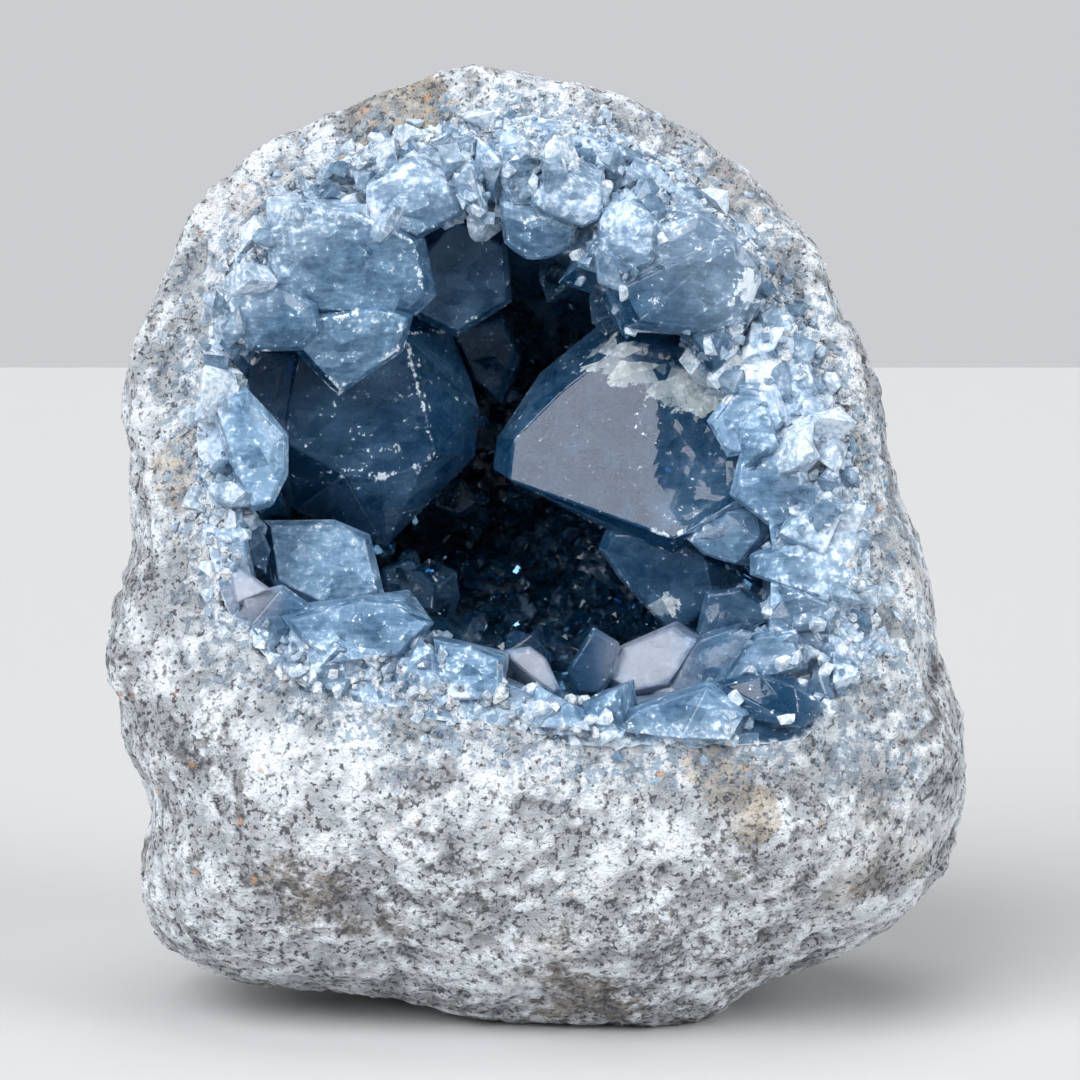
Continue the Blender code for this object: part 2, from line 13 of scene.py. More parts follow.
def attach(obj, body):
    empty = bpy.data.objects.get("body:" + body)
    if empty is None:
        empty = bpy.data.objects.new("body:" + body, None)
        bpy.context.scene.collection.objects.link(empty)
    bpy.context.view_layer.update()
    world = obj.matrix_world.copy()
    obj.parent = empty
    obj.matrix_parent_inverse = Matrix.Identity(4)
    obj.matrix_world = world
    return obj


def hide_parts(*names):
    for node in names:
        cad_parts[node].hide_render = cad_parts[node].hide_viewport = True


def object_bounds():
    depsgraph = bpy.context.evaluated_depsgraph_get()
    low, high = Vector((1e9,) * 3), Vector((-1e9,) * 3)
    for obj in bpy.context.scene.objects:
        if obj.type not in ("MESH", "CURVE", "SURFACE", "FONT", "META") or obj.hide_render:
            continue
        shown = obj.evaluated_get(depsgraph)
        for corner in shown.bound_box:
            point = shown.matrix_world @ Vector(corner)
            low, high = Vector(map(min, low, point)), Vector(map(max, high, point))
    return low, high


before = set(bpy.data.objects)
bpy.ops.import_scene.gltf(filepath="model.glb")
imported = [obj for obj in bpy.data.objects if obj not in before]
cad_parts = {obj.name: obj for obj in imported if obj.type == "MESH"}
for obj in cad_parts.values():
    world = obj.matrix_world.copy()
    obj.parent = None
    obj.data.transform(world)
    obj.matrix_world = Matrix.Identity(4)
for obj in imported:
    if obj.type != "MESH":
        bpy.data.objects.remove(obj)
cad_low, cad_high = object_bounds()
MM = 0.001


# The stone
# One natural nodule of granular white rock with grey, tan and brown stains, weathered round outside and
# broken open at the front. It is the CAD solid with its crumbs, pits and grains of a millimetre or two.
GRAIN_OF_THE_SKIN = 1.47 * MM
SMOOTHING_ROUNDS = 4
# The broken edge of the stone laps over the crust's edge by this much, more or less raggedly, and lies
# before it.
LIP_OVER = 1.8 * MM
LIP_RAGGED = 2.6 * MM
LIP_FORWARD = 1.4 * MM


def linked(name, mesh):
    """A piece with this mesh."""
    piece = bpy.data.objects.new(name, mesh)
    bpy.context.scene.collection.objects.link(piece)
    return piece


def merged_mesh(node):
    """A copy of a CAD node's loose triangles with their corners merged."""
    bm = bmesh.new()
    bm.from_mesh(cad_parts[node].data)
    bmesh.ops.remove_doubles(bm, verts=bm.verts, dist=0.01 * MM)
    return bm


def as_mesh(bm, name):
    mesh = bpy.data.meshes.new(name)
    bm.to_mesh(mesh)
    bm.free()
    return mesh


def worked(piece, kind, **settings):
    """Puts one modifier's result into the piece's mesh."""
    modifier = piece.modifiers.new(kind, kind)
    for name, value in settings.items():
        setattr(modifier, name, value)
    bpy.context.view_layer.update()
    evaluated = piece.evaluated_get(bpy.context.evaluated_depsgraph_get())
    mesh = bpy.data.meshes.new_from_object(evaluated)
    piece.modifiers.clear()
    piece.data = mesh


def places(mesh):
    """The places of a mesh's corners, one row each."""
    flat = np.zeros(len(mesh.vertices) * 3, np.float32)
    mesh.vertices.foreach_get("co", flat)
    return flat.reshape(-1, 3).astype(float)


def outward(mesh):
    flat = np.zeros(len(mesh.vertices) * 3, np.float32)
    mesh.vertex_normals.foreach_get("vector", flat)
    return flat.reshape(-1, 3).astype(float)


def mark(mesh, name, values):
    """Keeps one number for each corner, for a material to read."""
    layer = mesh.attributes.new(name, "FLOAT", "POINT")
    layer.data.foreach_set("value", np.asarray(values, np.float32))


def ease(low, high, values):
    """0 below low, 1 above high, and a smooth rise between them."""
    share = np.clip((np.asarray(values, float) - low) / (high - low), 0, 1)
    return share * share * (3 - 2 * share)


def waves(spots, reach, shift, octaves=1):
    """Smooth noise from about -1 to 1 at each spot, with lumps of this reach."""
    shift = Vector((shift, 0, 0))
    if octaves == 1:
        return np.array([noise.noise(Vector(spot) / reach + shift) for spot in spots])
    return np.array([noise.fractal(Vector(spot) / reach + shift, 1, 2, octaves) for spot in spots])


def crumbs(spots, reach, shift):
    """Rounded grains that meet in valleys: 0 in a valley and about 1 on a grain."""
    shift = Vector((shift, 0, 0))
    found = []
    for spot in spots:
        near, _ = noise.voronoi(Vector(spot) / reach + shift)
        found.append(near[1] - near[0])
    return np.minimum(np.array(found), 1)


def outline_reach(outline, middle):
    """A function from an angle round the middle to how far out the outline lies there, in metres."""
    polar = sorted(
        (math.atan2(z - middle[1], x - middle[0]), math.hypot(x - middle[0], z - middle[1]) * MM)
        for x, z in outline
    )
    angles = np.array([angle for angle, _ in polar])
    reaches = np.array([reach for _, reach in polar])
    return lambda angle: np.interp(angle, angles, reaches, period=math.tau)


# The edge of the free space and of the rock's hollow in the front view, as (x, z) in millimetres.
FREE_SPACE_EDGE = [
    (0, 180), (22, 165), (43, 143), (50, 125), (52, 108), (51, 92), (43, 81), (24, 76), (8, 76), (-6, 81),
    (-26, 90), (-46, 93), (-60, 94), (-66, 106), (-66, 121), (-68, 137), (-67, 152), (-56, 164), (-44, 176),
    (-22, 184),
]
ROCK_EDGE = [
    (-9, 207), (14, 205), (32, 196), (47, 181), (59, 163), (67, 143), (72, 121), (76, 99), (76, 87),
    (71, 76), (62, 69), (50, 66), (30, 66), (10, 67), (-22, 73), (-50, 77), (-65, 88), (-73, 101),
    (-77, 117), (-78, 136), (-76, 154), (-71, 172), (-62, 186), (-48, 197), (-30, 204),
]
HOLLOW_MIDDLE = (-8, 129)
free_reach = outline_reach(FREE_SPACE_EDGE, HOLLOW_MIDDLE)
rock_reach = outline_reach(ROCK_EDGE, HOLLOW_MIDDLE)


def rim_share(spots):
    """0 on the edge of the free space and 1 on the edge of the rock, in the front view."""
    across = spots[:, 0] - HOLLOW_MIDDLE[0] * MM
    up = spots[:, 2] - HOLLOW_MIDDLE[1] * MM
    angle = np.arctan2(up, across)
    inner = free_reach(angle)
    return (np.hypot(across, up) - inner) / (rock_reach(angle) - inner)


def break_depth(spots):
    """The y of the broken front at the x and z of each spot."""
    return -0.0658 + (spots[:, 2] - 0.072) * 0.33 + 0.012 * (spots[:, 0] / 0.08) ** 2


crust_shape = merged_mesh("crystal_crust")
crust_tree = BVHTree.FromBMesh(crust_shape)

stone = linked("geode_stone", as_mesh(merged_mesh("rock_shell"), "stone"))
worked(stone, "REMESH", mode="VOXEL", voxel_size=GRAIN_OF_THE_SKIN, use_smooth_shade=True)
worked(stone, "SMOOTH", factor=0.5, iterations=SMOOTHING_ROUNDS)

spots = places(stone.data)
normals = outward(stone.data)
to_crust = np.array([crust_tree.find_nearest(Vector(spot))[3] for spot in spots])
in_the_open = ease(1.2 * MM, 4 * MM, to_crust)
lumps = waves(spots, 11 * MM, 2, 3)
grains = crumbs(spots, 4.2 * MM, 5)
fine = waves(spots, 2.2 * MM, 9)
pits = ease(0.25, 0.6, waves(spots, 6 * MM, 14))
rise = 0.7 * lumps + 0.8 * (grains - 0.6) + 0.5 * fine - 1.1 * pits - 0.2
behind = spots[:, 1] - break_depth(spots)
lip = (1 - ease(1.0 * MM, 5 * MM, to_crust)) * (1 - ease(3 * MM, 9 * MM, behind))
inwards = np.array([HOLLOW_MIDDLE[0], 0, HOLLOW_MIDDLE[1]]) * MM - spots
inwards[:, 1] = 0
inwards /= np.linalg.norm(inwards, axis=1)[:, None]
spots += normals * (rise * MM * in_the_open)[:, None]
spots += inwards * (lip * (LIP_OVER + LIP_RAGGED * waves(spots, 7 * MM, 40, 2)))[:, None]
spots[:, 1] -= lip * LIP_FORWARD
spots = np.clip(spots, np.array(cad_low), np.array(cad_high))
stone.data.vertices.foreach_set("co", spots.astype(np.float32).ravel())
stone.data.update()

# Stains that show as single ones, as (x, y, z) of the middle and reach, in millimetres.
SANDY_PATCHES = [
    ((-33, -19, 208), 15), ((41, -66, 60), 8), ((36, -66, 65), 7), ((46, -65, 54), 8),
    ((-79, -36, 127), 11),
]
BROWN_PATCHES = [
    ((73, -53, 37), 9), ((-49, -60, 36), 11), ((-40, -58, 30), 9), ((-33, -57, 27), 7),
    ((-58, -60, 42), 8), ((4, -47, 9), 14), ((60, -50, 22), 10),
]
# Where grains of celestite lie in the stone further from the crust, in the same form.
BLUISH_PATCHES = [
    ((80, -50, 82), 15), ((77, -56, 65), 13), ((68, -59, 65), 11), ((86, -42, 92), 11),
    ((-72, -50, 90), 13), ((-80, -45, 99), 8), ((84, -32, 115), 15), ((80, -28, 140), 14),
    ((72, -24, 165), 13), ((55, -22, 187), 12), ((-82, -30, 150), 12), ((-76, -24, 172), 12),
    ((-30, -60, 64), 9), ((5, -62, 60), 10),
]


def patches(spots, named):
    """How much each spot lies in one of the named patches."""
    total = np.zeros(len(spots))
    for middle, reach in named:
        away = np.linalg.norm(spots - np.array(middle) * MM, axis=1) / (reach * MM)
        total = np.maximum(total, 1 - ease(0.3, 1.3, away))
    return total


mark(stone.data, "sandy", patches(spots, SANDY_PATCHES))
mark(stone.data, "brown", patches(spots, BROWN_PATCHES))
near_crystals = np.maximum(1 - ease(2 * MM, 15 * MM, to_crust), patches(spots, BLUISH_PATCHES))
mark(stone.data, "near_crystals", near_crystals)
mark(stone.data, "rise", rise)


class Signal:
    """What a node gives out, in a form that plain arithmetic can be written with."""

    def __init__(self, finish, socket):
        self.finish, self.socket = finish, socket

    def worked(self, operation, *numbers):
        return self.finish.node("ShaderNodeMath", {"operation": operation}, dict(enumerate(numbers)))

    def __add__(self, other):
        return self.worked("ADD", self, other)

    def __sub__(self, other):
        return self.worked("SUBTRACT", self, other)

    def __mul__(self, other):
        return self.worked("MULTIPLY", self, other)

    def __rsub__(self, other):
        return self.worked("SUBTRACT", other, self)

    __radd__ = __add__
    __rmul__ = __mul__

    def held(self):
        """No less than 0 and no more than 1."""
        return self.finish.node("ShaderNodeClamp", {}, {0: self})

    def between(self, low, high):
        """0 below low, 1 above high, and a smooth rise between them."""
        settings = {"interpolation_type": "SMOOTHSTEP"}
        return self.finish.node("ShaderNodeMapRange", settings, {0: self, 1: low, 2: high, 3: 0.0, 4: 1.0})


class Finish:
    """A material under construction."""

    def __init__(self, name):
        self.material = bpy.data.materials.new(name)
        self.material.use_nodes = True
        self.tree = self.material.node_tree
        self.tree.nodes.clear()
        self.place = self.node("ShaderNodeTexCoord", {}, {}, "Object")

    def node(self, kind, settings, inputs, gives=0):
        """Adds a node, with its settings first and then its sockets, and returns what it gives out."""
        made = self.tree.nodes.new(kind)
        for name, value in settings.items():
            setattr(made, name, value)
        for name, value in inputs.items():
            if isinstance(value, Signal):
                self.tree.links.new(value.socket, made.inputs[name])
            else:
                made.inputs[name].default_value = value
        return Signal(self, made.outputs[gives]) if len(made.outputs) else None

    def moved(self, shift):
        """The place on the piece, shifted so that another part of a pattern is met."""
        inputs = {0: self.place, 1: (shift, shift, 0)}
        return self.node("ShaderNodeVectorMath", {"operation": "ADD"}, inputs)

    def drawn_out(self, turn, stretch):
        """The place turned and squeezed, so that a pattern is drawn out into streaks along its own X."""
        inputs = {"Vector": self.place, "Rotation": turn, "Scale": (1, stretch, stretch)}
        return self.node("ShaderNodeMapping", {}, inputs)

    def cloud(self, size, detail=3.0, roughness=0.55, place=0.0):
        """Noise from 0 to 1 with lumps of this size in metres."""
        place = place if isinstance(place, Signal) else self.moved(place)
        inputs = {"Vector": place, "Scale": 1 / size, "Detail": detail, "Roughness": roughness}
        return self.node("ShaderNodeTexNoise", {}, inputs, "Fac")

    def cells(self, size, gives="Distance", place=0.0):
        """How far the nearest seed of a pattern lies, in cell sizes, or each cell's own colour."""
        place = place if isinstance(place, Signal) else self.moved(place)
        return self.node("ShaderNodeTexVoronoi", {}, {"Vector": place, "Scale": 1 / size}, gives)

    def number_of_each_cell(self, size, place=0.0):
        """A number from 0 to 1 that is the same all over a cell and another in the next."""
        return self.node("ShaderNodeSeparateColor", {}, {0: self.cells(size, "Color", place)}, "Red")

    def read(self, name):
        """A number that the mesh keeps for each corner."""
        return self.node("ShaderNodeAttribute", {"attribute_name": name}, {}, "Fac")

    def blend(self, share, first, second):
        """The first colour where share is 0 and the second where it is 1."""
        return self.node("ShaderNodeMix", {"data_type": "RGBA"}, {0: share, 6: first, 7: second}, 2)

    def relief(self, height, depth, strength):
        inputs = {"Height": height, "Distance": depth, "Strength": strength}
        return self.node("ShaderNodeBump", {}, inputs)

    def shader(self, **sockets):
        named = {name.replace("_", " "): value for name, value in sockets.items()}
        return self.node("ShaderNodeBsdfPrincipled", {}, named)

    def done(self, surface, volume=None):
        inputs = {"Surface": surface}
        if volume is not None:
            inputs["Volume"] = volume
        self.node("ShaderNodeOutputMaterial", {}, inputs)
        return self.material


WHITE_STONE = (0.84, 0.89, 0.94, 1)
GREY_STONE = (0.36, 0.38, 0.39, 1)
SANDY_STONE = (0.52, 0.45, 0.35, 1)
BROWN_STONE = (0.27, 0.235, 0.20, 1)
# The colour of the stone's dark grains, also used as painted shade in its pits.
DARK_GRAIN_AND_PIT_SHADE = (0.10, 0.105, 0.12, 1)
BLUE_GRAIN = (0.24, 0.35, 0.47, 1)
ORANGE_GRAIN = (0.62, 0.33, 0.16, 1)


def stone_finish():
    made = Finish("white granular stone")
    sandy, brown, near, rise = (made.read(name) for name in ("sandy", "brown", "near_crystals", "rise"))
    broad = made.cloud(26 * MM, 2.0, 0.6, 0.7)
    clouds = made.cloud(9 * MM, 2.0, 0.6)
    mottles = made.cloud(4 * MM, 3.0, 0.7)
    grains = made.cloud(1.5 * MM, 2.0, 0.7)
    worn = (broad - 0.5) * 1.4 + (clouds - 0.5) * 0.8
    greyed = (worn + (mottles - 0.5) * 2.4 + (grains - 0.5) * 0.8 + 0.42).between(0.35, 0.95)
    colour = made.blend(greyed * (1.0 - near * 0.55), WHITE_STONE, GREY_STONE)
    stained = worn + brown * 0.55 + (mottles - 0.5) * 1.5 + (grains - 0.5) * 0.5 + 0.32
    stained = stained.between(0.5, 1.0)
    colour = made.blend(stained * (0.85 - near * 0.65), colour, BROWN_STONE)
    tan = (sandy + (grains - 0.5) * 0.7 + (clouds - 0.5) * 0.5).between(0.35, 0.55)
    tan = (tan * 0.9 + (made.cloud(30 * MM, 2.0, 0.6, 1.9) - 0.6) * 3).held() * (0.6 + grains * 0.7)
    colour = made.blend(tan.held(), colour, SANDY_STONE)
    blue_grains = made.cloud(2.6 * MM, 3.0, 0.7, 1.3) + near * 0.10
    blueness = blue_grains.between(0.55, 0.66) * (0.30 + near).held()
    colour = made.blend(blueness * 0.75, colour, BLUE_GRAIN)
    specks = made.cloud(1.25 * MM, 2.0, 0.6, 0.3)
    speckled = specks + (mottles - 0.5) * 0.28 + worn * 0.06 + stained * 0.03 + sandy * 0.02 - near * 0.04
    speckled = speckled.between(0.52, 0.68)
    # Painted shade: the low places of the skin, its pits and the valleys between its grains, are painted
    # darker the lower they lie.
    painted_pit_shade = (-0.1 - rise).between(0.0, 0.9) * 0.55
    colour = made.blend((speckled * 0.8 + painted_pit_shade).held(), colour, DARK_GRAIN_AND_PIT_SHADE)
    orange = made.cells(8 * MM, place=0.2).between(0.14, 0.07) * 0.6
    colour = made.blend(orange * clouds.between(0.4, 0.6), colour, ORANGE_GRAIN)
    relief = made.relief(made.cloud(1.2 * MM, 2.0, 0.75, 2.0), 1.5 * MM, 0.9)
    surface = made.shader(Base_Color=colour, Roughness=0.8, Normal=relief)
    return made.done(surface)


stone.data.materials.clear()
stone.data.materials.append(stone_finish())
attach(stone, "root")
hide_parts("rock_shell")


# The crust of blue crystals
# Celestite that grew inwards from the wall of the hollow: a lining with every larger crystal on it, all
# grown through each other. Clear blue within, with chipped white edges, frosted patches and dust.

# Edges are cut to this length, and to twice this from so far behind the break. Faces that lie nearer to the
# stone than this are hidden by it.
CRYSTAL_MESH = 2.1 * MM
COARSER_FROM = 38 * MM
HIDDEN_NEARER_THAN = 1.1 * MM
SHARP_EDGE = math.radians(22)
CHIP_DEPTH = 0.5 * MM

stone_tree = BVHTree.FromPolygons(
    [Vector(spot) for spot in places(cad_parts["rock_shell"].data)],
    [tuple(face.vertices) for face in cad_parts["rock_shell"].data.polygons],
)


def cut_finer(bm, longest):
    """Cuts every edge in the open that is longer than this, or than twice this in the depth."""
    for _ in range(7):
        edges = [edge for edge in bm.edges if edge.calc_length() > longest]
        middles = np.array([(edge.verts[0].co + edge.verts[1].co) / 2 for edge in edges])
        coarser = middles[:, 1] - break_depth(middles) > COARSER_FROM
        long = [
            edge for edge, middle, twice in zip(edges, middles, coarser)
            if (not twice or edge.calc_length() > 2 * longest)
            and stone_tree.find_nearest(Vector(middle))[3] > HIDDEN_NEARER_THAN
        ]
        if not long:
            break
        bmesh.ops.subdivide_edges(bm, edges=long, cuts=1)
        bmesh.ops.triangulate(bm, faces=[face for face in bm.faces if len(face.verts) > 3])


def points_along(edges, step):
    for edge in edges:
        start, end = edge.verts[0].co, edge.verts[1].co
        count = max(1, int((end - start).length / step))
        for index in range(count + 1):
            yield start.lerp(end, index / count)


def nearness(spots, points, reach):
    """1 on one of the points and 0 at this reach from all of them."""
    points = list(points)
    tree = KDTree(len(points))
    for index, point in enumerate(points):
        tree.insert(point, index)
    tree.balance()
    away = np.array([tree.find(Vector(spot))[2] for spot in spots])
    return np.clip(1 - away / reach, 0, 1)


# The lists below give places as (x, y, z) of the middle and the reach, all in millimetres.
# The crystals that show as single ones, and how pale each is, from 0 to 1.
CRYSTAL_TONES = [
    ((20, -20, 134), 30, 0.10), ((-41, -14, 141), 26, 0.06), ((-20, -5, 145), 15, 0.22),
    ((-40, -8, 117), 12, 0.2), ((-44, -33, 173), 17, 0.50), ((-59, -37, 162), 10, 0.42),
    ((-41, -31, 155), 11, 0.57), ((-65, -19, 143), 11, 0.18), ((-49, -26, 106), 12, 0.68),
    ((-64, -31, 109), 5, 0.15), ((-67, -50, 102), 7, 0.45), ((-59, -51, 95), 8, 0.45),
    ((-1, -46, 84), 6, 0.55), ((12, -37, 83), 7, 0.15), ((25, -36, 85), 11, 0.55),
    ((36, -41, 85), 11, 0.28), ((27, -26, 103), 13, 0.30), ((42, -36, 113), 8, 0.60),
    ((58, -49, 106), 12, 0.58), ((44, -34, 95), 8, 0.25), ((58, -51, 97), 7, 0.34),
    ((35, -37, 171), 16, 0.36), ((19, -39, 180), 8, 0.50), ((7, -35, 187), 9, 0.52),
    ((-1, -30, 180), 9, 0.50), ((-5, -32, 191), 6, 0.55), ((-16, -32, 189), 7, 0.55),
    ((-19, -14, 171), 13, 0.20), ((-29, -31, 188), 11, 0.55), ((-23, -26, 200), 9, 0.60),
    ((-12, 3, 151), 11, 0.14), ((-30, -6, 98), 9, 0.12), ((-21, 10, 116), 7, 0.12),
    ((45, -40, 140), 9, 0.74), ((57, -36, 155), 8, 0.76), ((50, -46, 124), 10, 0.72),
    ((-64, -42, 132), 10, 0.74), ((50, -58, 87), 9, 0.45), ((51, -62, 77), 11, 0.08),
    ((31, -64, 75), 13, 0.55), ((-50, -60, 82), 9, 0.30), ((-40, -57, 94), 14, 0.60),
    ((-15, -61, 85), 9, 0.55),
]
TONE_SPREAD = 0.14
# The one dark crystal of the rim, which has no frost, and no crumbs of stone on this much of it.
DARK_CRYSTAL = ((51, -62, 77), 11)
WITHOUT_CRUMBS = ((51, -62, 77), 9)
# Where the two largest crystals and the dome are frosted white, hazy inside, or chipped along a ridge.
FROSTED_PLACES = [
    ((14, -16, 153), 6), ((20, -19, 151), 7), ((26, -22, 149), 7), ((32, -25, 146), 7), ((39, -29, 144), 8),
    ((44, -35, 148), 8), ((47, -43, 168), 5), ((30, -37, 180), 6), ((22, -33, 172), 5), ((26, -30, 96), 5),
]
HAZY_PLACES = [((37, -36, 128), 12), ((32, -34, 118), 8), ((-38, -16, 152), 7), ((-28, -12, 122), 6)]
CHIPPED_RIDGES = [
    ((-27, -36, 178), 6), ((-28, -36, 168), 6), ((-35, -38, 184), 6), ((-44, -36, 160), 5),
    ((-31, -17, 157), 7), ((-29, -17, 150), 6), ((-27, -17, 143), 6), ((-25, -16, 136), 6),
    ((-27, -16, 128), 5), ((-36, -17, 124), 5), ((30, -37, 113), 6), ((-52, -25, 145), 5),
    ((-45, -30, 147), 6), ((-33, -29, 155), 6),
]
# Where a flat face is broken up, or uneven.
BROKEN_PLACES = [
    ((38, -31, 138), 8), ((36, -35, 127), 7), ((36, -27, 147), 9), ((44, -38, 146), 8), ((26, -22, 151), 6),
    ((31, -33, 130), 6), ((35, -37, 120), 6),
]
UNEVEN_PLACES = [((-44, -36, 173), 18), ((35, -37, 171), 17), ((-49, -30, 106), 13), ((-59, -38, 162), 9)]
# Faces that stay flat and clean, so that they mirror the key light whole. A lilac reflection is also painted
# on them, with a larger milky share.
MIRRORING_PLACES = [((24, -38, 85), 13), ((-2, -48, 84), 8), ((-64, -53, 101), 8)]
# Rounded crystals, and how far the middle of the face bulges.
BULGED_PLACES = [
    ((36, -41, 85), 13, 2.0), ((7, -37, 188), 10, 1.6), ((-1, -32, 180), 9, 1.6), ((19, -41, 180), 9, 1.4),
    ((-16, -33, 189), 8, 1.2), ((36, -41, 171), 16, 1.6), ((-59, -39, 163), 11, 1.6),
    ((42, -37, 113), 8, 0.8), ((-64, -44, 134), 9, 1.2), ((51, -62, 77), 11, 1.0),
    ((-29, -34, 188), 10, 1.2),
]
# The way that the largest face looks, its middle and its reach. To the right of this x in metres, it is
# turned away by this slope, out of the key light's mirror image.
LARGEST_FACE = ((-0.27, -0.89, 0.37), (34, -33, 135), 22)
TURNED_FROM = 26 * MM
TURNED_SLOPE = 0.25
BEVEL = 0.4 * MM
NARROWEST_BEVELLED = 2.2 * MM


def flat_groups(bm):
    """Gives lists of faces that lie side by side in one plane."""
    met = set()
    for first in bm.faces:
        if first in met:
            continue
        met.add(first)
        group = [first]
        for face in group:
            for edge in face.edges:
                if len(edge.link_faces) == 2 and edge.calc_face_angle(1) < math.radians(1.5):
                    for other in edge.link_faces:
                        if other not in met:
                            met.add(other)
                            group.append(other)
        yield group


def tone_of(spot):
    """How pale the crust is here."""
    best, found = 1.35, None
    for middle, reach, tone in CRYSTAL_TONES:
        away = (spot - Vector(middle) * MM).length / (reach * MM)
        if away < best:
            best, found = away, tone
    # Away from the listed crystals the crust is pale near the break and dark deeper in the hollow. The pale
    # rim is its own; the dark depth is partly the clear crystals' own blue, partly painted shade.
    if found is None:
        row = np.array([spot])
        deep = float(ease(0.015, 0.05, spot.y - break_depth(row)[0]))
        found = 0.60 * (1 - deep) + 0.10 * deep
    return found


tone_layer = crust_shape.faces.layers.float.new("tone")
bevel_layer = crust_shape.faces.layers.float.new("bevel")
facets = random.Random(3)
bmesh.ops.dissolve_limit(
    crust_shape, angle_limit=math.radians(0.8), verts=crust_shape.verts[:], edges=crust_shape.edges[:]
)
for group in flat_groups(crust_shape):
    middle = sum((face.calc_center_median() * face.calc_area() for face in group), Vector())
    middle /= max(sum(face.calc_area() for face in group), 1e-12)
    tone = tone_of(middle) + facets.uniform(-TONE_SPREAD, TONE_SPREAD)
    for face in group:
        face[tone_layer] = min(max(tone, 0), 1)

sharp_edges = [edge for edge in crust_shape.edges if edge.calc_face_angle(0) > SHARP_EDGE]
outer_edges = [edge for edge in sharp_edges if edge.is_convex]
inner_edges = [edge for edge in sharp_edges if not edge.is_convex]
outer_points = list(points_along(outer_edges, 0.5 * MM))
inner_points = list(points_along(inner_edges, 0.5 * MM))
sharp_corners = {vert for edge in outer_edges for vert in edge.verts}
wide = [
    face for face in crust_shape.faces
    if 2 * face.calc_area() / face.calc_perimeter() > NARROWEST_BEVELLED / 2
]
inset = bmesh.ops.inset_individual(crust_shape, faces=wide, thickness=BEVEL, use_even_offset=True)
sharp = {edge for edge in crust_shape.edges if edge.calc_face_angle(0) > SHARP_EDGE}
for face in inset["faces"]:
    face[bevel_layer] = any(edge in sharp and edge.is_convex for edge in face.edges)
crust_shape.normal_update()
drawn_in = {vert: vert.normal * BEVEL * 0.45 for vert in sharp_corners}
for vert, way in drawn_in.items():
    vert.co -= way
bmesh.ops.triangulate(crust_shape, faces=crust_shape.faces[:])
cut_finer(crust_shape, CRYSTAL_MESH)
crust = linked("celestite_crust", as_mesh(crust_shape, "crust"))

spots = places(crust.data)
normals = outward(crust.data)
on_edge = nearness(spots, outer_points, 2.4 * MM)
in_valley = nearness(spots, inner_points, 3 * MM)
by_an_edge = nearness(spots, outer_points + inner_points, 7 * MM)
rim = rim_share(spots)
behind = spots[:, 1] - break_depth(spots)
frost = ease(-0.15, 0.5, rim) * (1 - ease(0.02, 0.05, behind)) * (1 - patches(spots, [DARK_CRYSTAL]))
to_stone = np.array([stone_tree.find_nearest(Vector(spot))[3] for spot in spots])
crust_open = to_stone > HIDDEN_NEARER_THAN
chips = ease(0.1, 0.5, waves(spots, 3 * MM, 31)) * ease(0.87, 1, on_edge)
# Deeper in the hollow the faces are more uneven, and the crust is painted darker: partly the clear crystals'
# own dark blue, partly painted shade.
deep = ease(0.035, 0.06, behind)
swell = waves(spots, 9 * MM, 25) * 0.15 * MM + frost * waves(spots, 4 * MM, 27, 2) * 0.5 * MM
swell += deep * waves(spots, 6 * MM, 28, 2) * 1.1 * MM
swell += patches(spots, BROKEN_PLACES) * (waves(spots, 5 * MM, 33, 2) - 0.3) * 0.8 * MM
swell += patches(spots, UNEVEN_PLACES) * waves(spots, 4 * MM, 35, 2) * 0.45 * MM
for middle, reach, height in BULGED_PLACES:
    away = np.linalg.norm(spots - np.array(middle) * MM, axis=1) / (reach * MM)
    swell += height * MM * np.clip(1 - away * away, 0, 1)
facing, middle, reach = LARGEST_FACE
on_it = ease(0.97, 0.99, normals @ np.array(facing)) * patches(spots, [(middle, reach)])
swell -= on_it * np.maximum(spots[:, 0] - TURNED_FROM, 0) * TURNED_SLOPE
mirroring = patches(spots, MIRRORING_PLACES)
swell *= 1 - mirroring
spots += normals * (swell * (1 - on_edge) - chips * CHIP_DEPTH)[:, None] * crust_open[:, None]
crust.data.vertices.foreach_set("co", spots.astype(np.float32).ravel())
crust.data.update()
mark(crust.data, "edge", on_edge)
mark(crust.data, "frost", frost * (1 - mirroring))
mark(crust.data, "mirroring", mirroring)
mark(crust.data, "frosted", patches(spots, FROSTED_PLACES))
mark(crust.data, "hazy", patches(spots, HAZY_PLACES))
mark(crust.data, "chipped", patches(spots, CHIPPED_RIDGES))
mark(crust.data, "by_an_edge", by_an_edge)
mark(crust.data, "root", (1 - crust_open) * (1 - 0.85 * deep))
mark(crust.data, "deep", deep)

CLEAR_TINT = (0.93, 0.97, 0.99, 1)
DEEP_HAZE = (0.011, 0.120, 0.285, 1)
MILKY_BLUE = (0.30, 0.52, 0.77, 1)
PALE_FROST = (0.78, 0.87, 0.95, 1)
YELLOWISH_FROST = (0.72, 0.78, 0.74, 1)
# The colour of the painted reflection on the mirroring faces.
PAINTED_LILAC_REFLECTION = (0.33, 0.34, 0.40, 1)
DEEP_BLUE = (0.05, 0.50, 0.78, 1)
BLUE_PER_METRE = 42.0
CELESTITE_IOR = 1.62


